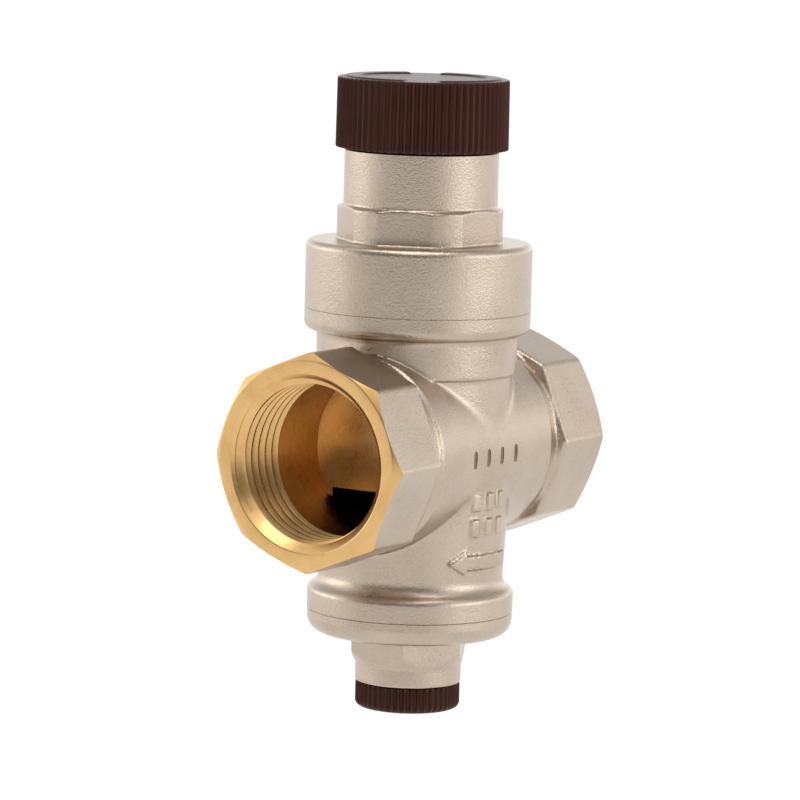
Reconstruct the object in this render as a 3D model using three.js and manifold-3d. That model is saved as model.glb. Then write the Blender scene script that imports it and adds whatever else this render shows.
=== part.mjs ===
// Pressure reducing valve, direct-acting piston type, G 3/4 female ports.
// Millimetres, +Z up. The origin is where the port axis crosses the vertical axis.
// +X points at the inlet, -X at the outlet.

import * as THREE from 'three';
import { mergeVertices } from 'three/addons/utils/BufferGeometryUtils.js';
import Module from 'manifold-3d';

const wasm = await Module();
wasm.setup();

// ---------------------------------------------------------------- driving dimensions

const FINE = 36; // facets round a large turned surface
const SMALL = 18; // facets round a small turned surface
const RING = 20; // facets round a seal
const GAP = 0.15; // clearance left between fixed neighbours
const SLIP = 0.2; // radial clearance of sliding and screwed pieces

// ports and arms
const PORT_FACE = 30.4; // port face to the vertical axis
const OCT_AF = 31.4; // octagon across flats
const OCT_BACK = 18; // inner end of the octagon
const ARM_R = 15.2;
const NECK_R = 14.3; // turned neck behind the octagon
const NECK_IN = 15.7;
const PORT_R = 12.6; // mean radius of the G 3/4 thread, and of the bore behind it
const MOUTH_R = 13.7; // countersink at the face
const RIM_R = 15.65; // outer edge of the face, where the corner chamfer starts
const OUTLET_END = 8.2; // end wall of the outlet bore
const INLET_END = 16;
const PASSAGE_R = 5.5;
const PASSAGE_Z = 3;

// barrel
const BARREL_R = 15;
const BARREL_LOW_R = 14.4;
const BARREL_HIGH_R = 15.6;
const STEP_Z = 11.7;
const UPPER_RIM_R = 17.6;
const UPPER_RIM_Z = 17.9;
const UPPER_SEAM_Z = 21.4; // joint between body and bonnet
const SPIGOT_R = 15.2;
const SPIGOT_TOP = 28.8;
const LOWER_RIM_R = 16.05;
const LOWER_RIM_Z = -22.2;
const LOWER_SEAM_Z = -25.8; // joint between body and bottom cap

// chambers
const PISTON_BORE_R = 13.5;
const PISTON_FLOOR = 14.5;
const MIDDLE_R = 6.4; // inlet chamber round the stem
const MIDDLE_TOP = 9.5;
const SEAT_BORE_R = 7.2;
const SEAT_TOP = -4.2;
const CEILING = -6.8; // ceiling of the lower chamber
const LOWER_R = 12.6;
const THREAD_LOW_R = 13.1;
const THREAD_LOW_TOP = -20.5;
const GUIDE_BORE_R = 7.2;
const GUIDE_SEAT = 10.7;

// bonnet
const FLANGE_TOP = 31.9;
const BONNET_CEILING = 29.1;
const HEX_AF = 24.4;
const HEX_ROUND_R = 12.9; // the hexagon's corners are turned to this
const HEX_TOP = 37.4;
const NECK_OUT_R = 11.97;
const SHOULDER_Z = 46.1; // the cap's edge stands on this shoulder
const CAP_THREAD_R = 11.2;
const BONNET_TOP = 54;
const SPRING_BORE_R = 9.5;

// cap
const CAP_R = 13.41;
const CAP_RIBS = 70;
const CAP_RIB_DEPTH = 0.4;
const CAP_BOTTOM = 46.25;
const CAP_TOP = 57.4;
const CAP_CEILING = 55.2;

// bottom cap and gauge plug
const BOTTOM_Z = -29.5;
const LOW_HEX_AF = 17;
const LOW_HEX_END = -33.6;
const COLLAR_R = 8.3;
const COLLAR_END = -37.2;
const GAUGE_R = 6.2; // mean radius of the G 1/4 gauge thread
const GAUGE_TOP = -27.5;
const PLUG_R = 8.19;
const PLUG_RIBS = 48;
const PLUG_RIB_DEPTH = 0.35;
const PLUG_TOP = -37.35;
const PLUG_BOTTOM = -41.3;

// piston, stem and shutter; the valve stands open, one stroke off its seat
const STROKE = 2.9;
const SEAT_LIP = -7.3;
const SEAT_R = 5.2;
const STEM_R = 3;
const SHUTTER_R = 11.4;
const STEM_GUIDE_R = 5.2;
const PISTON_LOW = 16.2;
const PISTON_HIGH = 22.9;
const SPRING_WIRE = 2.5;
const SPRING_MEAN_R = 7.9;
const SPRING_LOW = 23.05;
const SPRING_HIGH = 45;
const SPRING_TURNS = 5;

// ---------------------------------------------------------------- materials

const metal = (color, roughness) => new THREE.MeshStandardMaterial({ color, roughness, metalness: 1 });
const dull = (color, roughness) => new THREE.MeshStandardMaterial({ color, roughness, metalness: 0 });

const NICKEL = () => metal(0xc4b7a6, 0.42);
const BRASS = () => metal(0xc59a55, 0.3);
const STAINLESS = () => metal(0xb4b4b2, 0.28);
const SPRING_STEEL = () => metal(0x6f6f70, 0.4);
const PLASTIC = () => dull(0x3a1e1b, 0.5);
const BLACK_PLASTIC = () => dull(0x1b1b1b, 0.5);
const RUBBER = () => dull(0x161616, 0.75);
const PTFE = () => dull(0xe6e3da, 0.5);

// ---------------------------------------------------------------- geometry helpers

function signedVolume(position, index) {
  let sum = 0;
  const [a, b, c] = [new THREE.Vector3(), new THREE.Vector3(), new THREE.Vector3()];
  for (let i = 0; i < index.length; i += 3) {
    a.fromBufferAttribute(position, index[i]);
    b.fromBufferAttribute(position, index[i + 1]);
    c.fromBufferAttribute(position, index[i + 2]);
    sum += a.dot(b.cross(c));
  }
  return sum / 6;
}

// Merges the vertices, drops the slivers on the axis and turns the faces outward.
function clean(geometry) {
  geometry.deleteAttribute('normal');
  geometry.deleteAttribute('uv');
  const merged = mergeVertices(geometry, 1e-4);
  const source = merged.index.array;
  const index = [];
  for (let i = 0; i < source.length; i += 3) {
    const [a, b, c] = [source[i], source[i + 1], source[i + 2]];
    if (a !== b && b !== c && c !== a) index.push(a, b, c);
  }
  if (signedVolume(merged.attributes.position, index) < 0) {
    for (let i = 0; i < index.length; i += 3) [index[i + 1], index[i + 2]] = [index[i + 2], index[i + 1]];
  }
  merged.setIndex(index);
  return merged;
}

function solid(geometry) {
  const ready = clean(geometry);
  return new wasm.Manifold(new wasm.Mesh({
    numProp: 3,
    vertProperties: new Float32Array(ready.attributes.position.array),
    triVerts: new Uint32Array(ready.index.array),
  }));
}

function geometryOf(manifold) {
  const mesh = manifold.getMesh();
  const geometry = new THREE.BufferGeometry();
  geometry.setAttribute('position', new THREE.BufferAttribute(mesh.vertProperties, 3));
  geometry.setIndex(new THREE.BufferAttribute(mesh.triVerts, 1));
  return geometry;
}

// A profile of [radius, height] points turned about Z. An outline off the axis is closed on itself.
function turned(profile, facets = FINE) {
  const points = profile.map(([r, z]) => new THREE.Vector2(r, z));
  const onAxis = profile[0][0] === 0 && profile[profile.length - 1][0] === 0;
  if (!onAxis) points.push(points[0].clone());
  return new THREE.LatheGeometry(points, facets).rotateX(Math.PI / 2);
}

function cylinder(radius, low, high, facets = FINE) {
  return turned([[0, low], [radius, low], [radius, high], [0, high]], facets);
}

function torus(meanR, wireR, z, facets = RING, sides = 6) {
  return new THREE.TorusGeometry(meanR, wireR, sides, facets).translate(0, 0, z);
}

// The same, lying along X: the profile's second value runs towards +X.
function alongX(geometry) {
  return geometry.rotateY(Math.PI / 2);
}

// A prism over a shape in the XY plane.
function prism(shape, low, high) {
  const geometry = new THREE.ExtrudeGeometry(shape, { depth: high - low, bevelEnabled: false });
  return geometry.translate(0, 0, low);
}

function regularPolygon(sides, acrossFlats, firstCorner) {
  const radius = acrossFlats / 2 / Math.cos(Math.PI / sides);
  const points = [];
  for (let i = 0; i < sides; i += 1) {
    const angle = firstCorner + (i * 2 * Math.PI) / sides;
    points.push(new THREE.Vector2(radius * Math.cos(angle), radius * Math.sin(angle)));
  }
  return new THREE.Shape(points);
}

function ribbedOutline(radius, ribs, depth) {
  const points = [];
  for (let i = 0; i < ribs * 2; i += 1) {
    const r = i % 2 === 0 ? radius : radius - depth;
    const angle = (i * Math.PI) / ribs;
    points.push(new THREE.Vector2(r * Math.cos(angle), r * Math.sin(angle)));
  }
  return new THREE.Shape(points);
}

// ---------------------------------------------------------------- body

// Octagonal end with turned corners, on the +X side.
function octagonSolid() {
  const cornerR = OCT_AF / 2 / Math.cos(Math.PI / 8);
  const chamfer = cornerR - RIM_R;
  const octagon = solid(alongX(prism(regularPolygon(8, OCT_AF, 0), OCT_BACK, PORT_FACE + 1)));
  const turning = solid(alongX(turned([
    [0, OCT_BACK - 1], [cornerR + 1, OCT_BACK - 1], [cornerR + 1, PORT_FACE - chamfer - 1],
    [RIM_R, PORT_FACE], [0, PORT_FACE],
  ])));
  return octagon.intersect(turning);
}

// Both round arms in one piece, with the turned neck at each end.
function armsSolid() {
  const half = [
    [ARM_R, NECK_IN - 0.8], [ARM_R - 0.8, NECK_IN], [NECK_R, NECK_IN],
    [NECK_R, OCT_BACK + 0.5], [0, OCT_BACK + 0.5],
  ];
  const mirrored = half.map(([r, x]) => [r, -x]).reverse();
  return solid(alongX(turned([...mirrored, ...half])));
}

function portBore(end) {
  const mouth = MOUTH_R - PORT_R;
  return solid(alongX(turned([
    [0, end], [PORT_R, end], [PORT_R, PORT_FACE - mouth], [MOUTH_R + 1, PORT_FACE + 1],
    [0, PORT_FACE + 1],
  ])));
}

function barrelSolid() {
  return solid(turned([
    [0, LOWER_SEAM_Z], [LOWER_RIM_R, LOWER_SEAM_Z], [LOWER_RIM_R, LOWER_RIM_Z],
    [LOWER_RIM_R - 0.5, LOWER_RIM_Z + 0.3], [BARREL_LOW_R, LOWER_RIM_Z + 1.4],
    [BARREL_R, -8], [BARREL_R, STEP_Z], [BARREL_HIGH_R, STEP_Z + 0.6],
    [BARREL_HIGH_R, UPPER_RIM_Z - 0.6], [UPPER_RIM_R - 0.9, UPPER_RIM_Z],
    [UPPER_RIM_R, UPPER_RIM_Z + 1.2], [UPPER_RIM_R, UPPER_SEAM_Z], [SPIGOT_R, UPPER_SEAM_Z],
    [SPIGOT_R, SPIGOT_TOP], [0, SPIGOT_TOP],
  ]));
}

// Everything bored along the vertical axis, from the bottom joint up to the spigot's top.
function verticalBores() {
  const guideR = STEM_GUIDE_R + SLIP;
  return solid(turned([
    [0, LOWER_SEAM_Z - 1], [THREAD_LOW_R, LOWER_SEAM_Z - 1], [THREAD_LOW_R, THREAD_LOW_TOP],
    [LOWER_R, THREAD_LOW_TOP], [LOWER_R, CEILING], [SEAT_BORE_R, CEILING],
    [SEAT_BORE_R, SEAT_TOP], [MIDDLE_R, SEAT_TOP], [MIDDLE_R, MIDDLE_TOP], [guideR, MIDDLE_TOP],
    [guideR, GUIDE_SEAT], [GUIDE_BORE_R, GUIDE_SEAT], [GUIDE_BORE_R, PISTON_FLOOR],
    [PISTON_BORE_R, PISTON_FLOOR], [PISTON_BORE_R, SPIGOT_TOP + 1], [0, SPIGOT_TOP + 1],
  ]));
}

// Raised arrow on the barrel's -Y side, below the arms, pointing at the outlet.
function arrowSolid() {
  const [tip, wing, tail, halfHead, halfShaft] = [-8.5, -5.6, 4.2, 1.95, 1.15];
  const z = -16.7;
  const outline = new THREE.Shape([
    new THREE.Vector2(tip, z), new THREE.Vector2(wing, z + halfHead),
    new THREE.Vector2(wing, z + halfShaft), new THREE.Vector2(tail, z + halfShaft),
    new THREE.Vector2(tail, z - halfShaft), new THREE.Vector2(wing, z - halfShaft),
    new THREE.Vector2(wing, z - halfHead),
  ]);
  const slab = prism(outline, BARREL_LOW_R - 3, BARREL_R + 2).rotateX(Math.PI / 2);
  const skin = solid(cylinder(BARREL_R, z - halfHead - 1, z + halfHead + 1));
  return solid(slab).intersect(skin);
}

function bodyGeometry() {
  const inletEnd = octagonSolid();
  const outletEnd = inletEnd.rotate([0, 0, 180]);
  const outletBore = portBore(OUTLET_END).rotate([0, 0, 180]);
  const passage = solid(alongX(cylinder(PASSAGE_R, 0.5, INLET_END + 1, SMALL)).translate(0, 0, PASSAGE_Z));
  return geometryOf(
    barrelSolid().add(armsSolid()).add(inletEnd).add(outletEnd).add(arrowSolid())
      .subtract(portBore(INLET_END)).subtract(outletBore)
      .subtract(passage).subtract(verticalBores()),
  );
}

// ---------------------------------------------------------------- bonnet, cap and adjuster

function bonnetGeometry() {
  const low = UPPER_SEAM_Z + GAP;
  const shell = solid(turned([
    [SPIGOT_R + SLIP, low], [UPPER_RIM_R, low], [UPPER_RIM_R, FLANGE_TOP - 0.8],
    [UPPER_RIM_R - 0.8, FLANGE_TOP], [HEX_ROUND_R - 2, FLANGE_TOP], [NECK_OUT_R, HEX_TOP - 0.5],
    [NECK_OUT_R, SHOULDER_Z], [CAP_THREAD_R, SHOULDER_Z], [CAP_THREAD_R, BONNET_TOP],
    [SPRING_BORE_R, BONNET_TOP], [SPRING_BORE_R, BONNET_CEILING],
    [SPIGOT_R + SLIP, BONNET_CEILING],
  ]));
  const flatAngle = THREE.MathUtils.degToRad(21.6);
  const hexagon = solid(prism(regularPolygon(6, HEX_AF, flatAngle + Math.PI / 6), FLANGE_TOP - 0.5, HEX_TOP));
  const turning = solid(turned([
    [SPRING_BORE_R, FLANGE_TOP - 0.5], [HEX_ROUND_R, FLANGE_TOP - 0.5], [HEX_ROUND_R, HEX_TOP],
    [SPRING_BORE_R, HEX_TOP],
  ]));
  return geometryOf(shell.add(hexagon.intersect(turning)));
}

function capGeometry() {
  const ribs = solid(prism(ribbedOutline(CAP_R, CAP_RIBS, CAP_RIB_DEPTH), CAP_BOTTOM, CAP_TOP - 1));
  const crown = solid(turned([
    [0, CAP_TOP - 2], [CAP_R - 0.1, CAP_TOP - 2], [CAP_R - 0.1, CAP_TOP - 0.9],
    [CAP_R - 1, CAP_TOP], [0, CAP_TOP],
  ], CAP_RIBS / 2));
  const hollow = solid(cylinder(CAP_THREAD_R + SLIP, CAP_BOTTOM - 1, CAP_CEILING));
  return geometryOf(ribs.add(crown).subtract(hollow));
}

const capGasketGeometry = () => turned([
  [8.6, BONNET_TOP + GAP], [CAP_THREAD_R - 0.2, BONNET_TOP + GAP],
  [CAP_THREAD_R - 0.2, CAP_CEILING - GAP], [8.6, CAP_CEILING - GAP],
], RING);

// Threaded disc with a screwdriver slot and a through hole.
function adjustingScrewGeometry() {
  const [low, high] = [46.9, 52];
  const disc = solid(turned([
    [2, low], [7, low], [7, low + 1], [SPRING_BORE_R - SLIP, low + 1],
    [SPRING_BORE_R - SLIP, high - 0.6], [SPRING_BORE_R - 0.8, high], [2, high],
  ]));
  const slot = solid(new THREE.BoxGeometry(13, 2, 2.4).translate(0, 0, high - 0.7));
  return geometryOf(disc.subtract(slot));
}

const upperSpringPlateGeometry = () => turned([
  [2.4, 46.7], [2.4, 45.7], [5.9, 45.7], [6.3, SPRING_HIGH - 1.2], [6.3, SPRING_HIGH + 0.1],
  [9.2, SPRING_HIGH + 0.1], [9.2, SPRING_HIGH + 1.1], [7, SPRING_HIGH + 1.1], [6.6, 46.7],
], RING);

// Centre line of the spring: closed end turns, even pitch between them.
class SpringLine extends THREE.Curve {
  getPoint(t, target = new THREE.Vector3()) {
    const turn = t * SPRING_TURNS;
    const closed = SPRING_WIRE + 0.12;
    const low = SPRING_LOW + SPRING_WIRE / 2;
    const high = SPRING_HIGH - SPRING_WIRE / 2;
    const middle = (turn - 1) / (SPRING_TURNS - 2);
    let z = low + closed + middle * (high - low - 2 * closed);
    if (turn < 1) z = low + closed * turn;
    if (turn > SPRING_TURNS - 1) z = high - closed * (SPRING_TURNS - turn);
    const angle = turn * 2 * Math.PI;
    return target.set(SPRING_MEAN_R * Math.cos(angle), SPRING_MEAN_R * Math.sin(angle), z);
  }
}

function springGeometry() {
  const section = regularPolygon(8, SPRING_WIRE - 0.05, Math.PI / 8);
  return new THREE.ExtrudeGeometry(section, {
    steps: SPRING_TURNS * 16, extrudePath: new SpringLine(), bevelEnabled: false,
  });
}

// ---------------------------------------------------------------- piston and stem

const PISTON_SEAL_Z = 18.6;
const GUIDE_RING_LOW = 20.2;
const GUIDE_RING_HIGH = 22;
const STEM_SHOULDER = 16;
const NUT_LOW = 24.2;
const NUT_HIGH = 27.4;
const STEM_TOP = 28.2;
const STEM_THREAD_R = 3.4;

function pistonGeometry() {
  const outer = PISTON_BORE_R - SLIP;
  const sealFloor = 11.2;
  const guideFloor = 12.2;
  return turned([
    [STEM_THREAD_R + SLIP, PISTON_LOW], [outer, PISTON_LOW], [outer, PISTON_SEAL_Z - 1.1],
    [sealFloor, PISTON_SEAL_Z - 1.1], [sealFloor, PISTON_SEAL_Z + 1.1],
    [outer, PISTON_SEAL_Z + 1.1], [outer, GUIDE_RING_LOW], [guideFloor, GUIDE_RING_LOW],
    [guideFloor, GUIDE_RING_HIGH], [outer, GUIDE_RING_HIGH], [outer, PISTON_HIGH],
    [6.2, PISTON_HIGH], [6.2, NUT_LOW - GAP], [STEM_THREAD_R + SLIP, NUT_LOW - GAP],
  ]);
}

const guideRingGeometry = () => turned([
  [12.6, GUIDE_RING_LOW + 0.1], [PISTON_BORE_R - 0.06, GUIDE_RING_LOW + 0.1],
  [PISTON_BORE_R - 0.06, GUIDE_RING_HIGH - 0.1], [12.6, GUIDE_RING_HIGH - 0.1],
]);

function nutGeometry(acrossFlats, hole, low, high) {
  const nut = solid(prism(regularPolygon(6, acrossFlats, 0), low, high));
  return geometryOf(nut.subtract(solid(cylinder(hole, low - 1, high + 1, SMALL))));
}

// Stem with a bore from its lower end up to the cross holes under the piston.
const CROSS_Z = 15.1;
const STEM_LOW = -17;
const SHUTTER_THREAD_R = 2.4;

function stemGeometry() {
  const outside = solid(turned([
    [0, STEM_LOW], [SHUTTER_THREAD_R, STEM_LOW], [SHUTTER_THREAD_R, -11.4], [STEM_R, -11.4],
    [STEM_R, 4.4], [STEM_GUIDE_R, 5.8], [STEM_GUIDE_R, STEM_SHOULDER],
    [STEM_THREAD_R, STEM_SHOULDER], [STEM_THREAD_R, STEM_TOP], [0, STEM_TOP],
  ], SMALL));
  const bore = solid(cylinder(1.4, STEM_LOW - 1, CROSS_Z, 16));
  const cross = solid(alongX(cylinder(0.8, -8, 8, 12)).translate(0, 0, CROSS_Z));
  return geometryOf(outside.subtract(bore).subtract(cross));
}

const stemGuideGeometry = () => turned([
  [STEM_GUIDE_R + 0.1, 12.7], [GUIDE_BORE_R - 0.1, 12.7], [GUIDE_BORE_R - 0.1, 13.7],
  [STEM_GUIDE_R + 0.1, 13.7],
], SMALL);

// Open retaining ring above the guide bush.
function clipGeometry() {
  const ring = solid(turned([[6, 13.8], [7.1, 13.8], [7.1, 14.35], [6, 14.35]], SMALL));
  return geometryOf(ring.subtract(solid(new THREE.BoxGeometry(4, 3, 3).translate(6.5, 0, 14))));
}

const seatRingGeometry = () => turned([
  [SEAT_R, SEAT_LIP], [SEAT_R + 0.5, SEAT_LIP], [SEAT_R + 0.9, SEAT_LIP + 0.7], [7.05, -6.6],
  [7.05, -6.3], [5.9, -6.3], [5.9, -4.9], [7.05, -4.9], [7.05, SEAT_TOP - GAP],
  [SEAT_R + 0.6, SEAT_TOP - GAP], [SEAT_R, SEAT_TOP - GAP - 0.6],
], SMALL);

const PAD_TOP = SEAT_LIP - STROKE - 0.1;

const gasketGeometry = () => turned([
  [STEM_R + 0.15, PAD_TOP - 1.8], [6.7, PAD_TOP - 1.8], [6.7, PAD_TOP], [STEM_R + 0.15, PAD_TOP],
], SMALL);

// Wide moulded disc with a cup for the rubber pad in its middle.
const shutterGeometry = () => turned([
  [SHUTTER_THREAD_R + 0.15, -14], [6, -14], [9, -13.4], [SHUTTER_R, -12.9], [SHUTTER_R, -11.45],
  [7.6, -11.3], [7.6, PAD_TOP - 0.5], [6.85, PAD_TOP - 0.5], [6.85, PAD_TOP - 1.95],
  [SHUTTER_THREAD_R + 0.15, PAD_TOP - 1.95],
], RING);

// ---------------------------------------------------------------- bottom cap and gauge plug

function bottomCapGeometry() {
  const seam = LOWER_SEAM_Z - GAP;
  const corner = THREE.MathUtils.degToRad(27);
  const cover = solid(turned([
    [3.5, -20.8], [11.2, -20.8], [11.2, -22.4], [THREAD_LOW_R - SLIP, -22.4],
    [THREAD_LOW_R - SLIP, seam], [LOWER_RIM_R, seam], [LOWER_RIM_R, BOTTOM_Z + 2.6],
    [LOWER_RIM_R - 0.7, BOTTOM_Z + 1], [LOWER_RIM_R - 2.4, BOTTOM_Z], [COLLAR_R, BOTTOM_Z],
    [COLLAR_R, COLLAR_END], [GAUGE_R, COLLAR_END], [GAUGE_R, GAUGE_TOP], [3.5, GAUGE_TOP],
  ]));
  const hexagon = solid(prism(regularPolygon(6, LOW_HEX_AF, corner), LOW_HEX_END, BOTTOM_Z + 0.5));
  const turning = solid(turned([
    [COLLAR_R - 0.5, LOW_HEX_END], [COLLAR_R, LOW_HEX_END], [10, LOW_HEX_END + 1],
    [10, BOTTOM_Z + 0.5], [COLLAR_R - 0.5, BOTTOM_Z + 0.5],
  ], SMALL));
  return geometryOf(cover.add(hexagon.intersect(turning)));
}

function gaugePlugGeometry() {
  const ribs = solid(prism(ribbedOutline(PLUG_R, PLUG_RIBS, PLUG_RIB_DEPTH), PLUG_BOTTOM + 1, PLUG_TOP));
  const base = solid(turned([
    [0, PLUG_BOTTOM], [PLUG_R - 0.9, PLUG_BOTTOM], [PLUG_R - 0.1, PLUG_BOTTOM + 0.8],
    [PLUG_R - 0.1, PLUG_BOTTOM + 1.5], [0, PLUG_BOTTOM + 1.5],
  ], PLUG_RIBS));
  const shank = solid(turned([
    [0, PLUG_TOP - 1], [4.5, PLUG_TOP - 1], [4.5, PLUG_TOP + 2.1], [GAUGE_R - SLIP, PLUG_TOP + 2.1],
    [GAUGE_R - SLIP, -29.6], [GAUGE_R - 0.8, -29], [0, -29],
  ], SMALL));
  const slot = solid(new THREE.BoxGeometry(11, 1.6, 2.4).translate(0, 0, PLUG_BOTTOM + 0.6));
  return geometryOf(ribs.add(base).add(shank).subtract(slot));
}

// ---------------------------------------------------------------- assembly

const valve = new THREE.Group();

function place(name, geometry, material) {
  const mesh = new THREE.Mesh(geometry, material);
  mesh.name = name;
  valve.add(mesh);
}

place('body', bodyGeometry(), NICKEL());
place('bonnet', bonnetGeometry(), NICKEL());
place('bottom_cap', bottomCapGeometry(), NICKEL());
place('cap', capGeometry(), PLASTIC());
place('cap_gasket', clean(capGasketGeometry()), RUBBER());
place('adjusting_screw', adjustingScrewGeometry(), BRASS());
place('upper_spring_plate', clean(upperSpringPlateGeometry()), STAINLESS());
place('main_spring', clean(springGeometry()), SPRING_STEEL());
place('piston', clean(pistonGeometry()), BRASS());
place('piston_oring', clean(torus(12.45, 0.9, PISTON_SEAL_Z)), RUBBER());
place('piston_guide_ring', clean(guideRingGeometry()), PTFE());
place('piston_nut', nutGeometry(11, STEM_THREAD_R + SLIP, NUT_LOW, NUT_HIGH), BRASS());
place('stem', stemGeometry(), STAINLESS());
place('stem_oring', clean(torus(6.3, 0.8, 11.7)), RUBBER());
place('stem_guide', clean(stemGuideGeometry()), PTFE());
place('guide_clip', clipGeometry(), SPRING_STEEL());
place('seat_ring', clean(seatRingGeometry()), STAINLESS());
place('seat_oring', clean(torus(6.62, 0.48, -5.6)), RUBBER());
place('shutter', clean(shutterGeometry()), BLACK_PLASTIC());
place('shutter_gasket', clean(gasketGeometry()), RUBBER());
place('shutter_nut', nutGeometry(8, SHUTTER_THREAD_R + 0.1, -16.6, -14.15), STAINLESS());
place('bottom_cap_oring', clean(torus(12.1, 0.75, -21.55)), RUBBER());
place('gauge_plug', gaugePlugGeometry(), PLASTIC());
place('gauge_plug_oring', clean(torus(5.35, 0.75, PLUG_TOP + 1)), RUBBER());

export default valve;
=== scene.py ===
"""Pressure reducing valve: the finished look of every piece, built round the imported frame.

Shapes are worked out in millimetres and turned into metres where a mesh is made.
The origin is where the port axis (X) crosses the vertical axis (Z).
"""
import math

import bpy
import numpy as np
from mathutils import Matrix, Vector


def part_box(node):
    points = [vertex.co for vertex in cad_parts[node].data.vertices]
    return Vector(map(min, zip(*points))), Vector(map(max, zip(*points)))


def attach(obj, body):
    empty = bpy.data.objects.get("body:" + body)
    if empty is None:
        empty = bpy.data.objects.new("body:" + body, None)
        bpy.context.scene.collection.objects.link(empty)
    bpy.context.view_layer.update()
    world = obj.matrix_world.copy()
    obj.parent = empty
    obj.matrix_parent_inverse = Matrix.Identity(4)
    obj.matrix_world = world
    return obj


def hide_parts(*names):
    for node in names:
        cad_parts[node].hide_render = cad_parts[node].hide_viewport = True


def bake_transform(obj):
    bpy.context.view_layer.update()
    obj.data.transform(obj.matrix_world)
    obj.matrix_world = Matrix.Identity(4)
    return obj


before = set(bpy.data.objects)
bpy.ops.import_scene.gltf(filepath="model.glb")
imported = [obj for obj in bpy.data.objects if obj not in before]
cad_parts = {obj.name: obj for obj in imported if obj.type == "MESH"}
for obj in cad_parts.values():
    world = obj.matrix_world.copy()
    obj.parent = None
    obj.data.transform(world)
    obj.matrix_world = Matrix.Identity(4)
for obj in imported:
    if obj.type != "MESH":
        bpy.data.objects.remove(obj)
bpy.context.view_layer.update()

import openvdb
from mathutils import Matrix, Vector

MM = 0.001
CLEAR = 30.0  # a radius beyond every piece, for what a tool clears away


def span(node):
    """Lowest and highest corner of a CAD node, in millimetres."""
    low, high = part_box(node)
    return np.array(low) / MM, np.array(high) / MM


def heights(node):
    """Lowest and highest level of a CAD node, in millimetres."""
    low, high = span(node)
    return low[2], high[2]


BODY_LOW, BODY_HIGH = span("body")

# ports and arms, along X
FACE_X = BODY_HIGH[0] - 0.001  # kept just inside the CAD box
OCT_HALF = 15.7
OCT_BACK = 18.0
OCT_CHAMFER = 0.8
ARM_R = 15.58
ARM_END = 16.1
NECK_R = 15.15
MINOR_R = 12.06
PORT_PITCH = 1.814
PORT_THREAD_DEPTH = 1.162
RELIEF_R = 12.6
RELIEF_X = 19.0
MOUTH_R = 13.7
RIM_R = 15.65
OUTLET_END = 8.2
INLET_END = 16.0
PASSAGE_R = 5.5
PASSAGE_Z = 3.0

# barrel, along Z
UPPER_RIM_R = BODY_HIGH[1]
UPPER_SEAM = 21.4
LOWER_RIM_R = 16.05
LOWER_SEAM = BODY_LOW[2]
UPPER_RIM_Z = 17.9
LOWER_RIM_Z = -22.2
BARREL_R = 14.4
BARREL_GROWTH = 0.6
STEP_Z = 11.7
STEP_RISE = 0.6
SPIGOT_R = 15.2
SPIGOT_TOP = BODY_HIGH[2]
SEAM_EDGE = 0.05  # chamfer beside a joint's seam
SEAM_GAP = 0.004

# bonnet
HEX_HALF = 12.2
HEX_FIRST_FLAT = math.radians(21.6)
HEX_ROUND_R = 12.9
HEX_TOP = 37.35
FLANGE_TOP = 31.9
BONNET_NECK_R = 11.97
SHOULDER_Z = 46.1
CAP_THREAD_R = 11.2
CAP_PITCH = 1.5
SPRING_BORE_R = 9.5
BONNET_CEILING = 29.1
BONNET_TOP = heights("bonnet")[1]

# bottom cap
FOOT_BOTTOM = -29.5
FOOT_HEX_HALF = 8.5
FOOT_HEX_CORNER = math.radians(27)
COLLAR_R = 8.3
COLLAR_END = heights("bottom_cap")[0]
GAUGE_MINOR_R = 5.75
GAUGE_PITCH = 1.337
GAUGE_TOP = -27.5


# ---------------------------------------------------------------- mesh helpers

def new_object(name, mesh):
    """Links an object that holds the mesh."""
    obj = bpy.data.objects.new(name, mesh)
    bpy.context.scene.collection.objects.link(obj)
    return obj


def mesh_from(name, points_mm, faces, material):
    """A mesh from points in millimetres, with one material."""
    mesh = bpy.data.meshes.new(name)
    mesh.from_pydata((np.asarray(points_mm, dtype=float) * MM).tolist(), [], faces)
    mesh.materials.append(material)
    mesh.update()
    return mesh


def shade(mesh, degrees):
    """Smooth shading, with edges sharper than the angle kept sharp."""
    mesh.polygons.foreach_set("use_smooth", np.ones(len(mesh.polygons), dtype=bool))
    mesh.set_sharp_from_angle(angle=math.radians(degrees))


def piece(name, mesh, node, body, degrees=32):
    """A finished piece that stands for a CAD node and rides on its body."""
    shade(mesh, degrees)
    obj = new_object(name, mesh)
    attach(obj, body)
    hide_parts(node)
    return obj


def outward(points, faces):
    """The faces, turned over if they point inward."""
    points = np.asarray(points, dtype=float)
    volume = 0.0
    for face in faces:
        first = points[face[0]]
        for second, third in zip(face[1:], face[2:]):
            volume += np.dot(first, np.cross(points[second], points[third]))
    return faces if volume > 0 else [tuple(reversed(face)) for face in faces]


def rounded(profile, radius, steps=3):
    """A profile with each inner corner replaced by a short arc."""
    points = [np.array(p, dtype=float) for p in profile]
    result = [points[0]]
    for before, corner, after in zip(points, points[1:], points[2:]):
        to_before, to_after = before - corner, after - corner
        length_before, length_after = np.linalg.norm(to_before), np.linalg.norm(to_after)
        reach = min(radius, 0.45 * length_before, 0.45 * length_after)
        start = corner + to_before / length_before * reach
        end = corner + to_after / length_after * reach
        for i in range(steps + 1):
            t = i / steps
            result.append((1 - t) ** 2 * start + 2 * t * (1 - t) * corner + t ** 2 * end)
    result.append(points[-1])
    return [(float(r), float(z)) for r, z in result]


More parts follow.
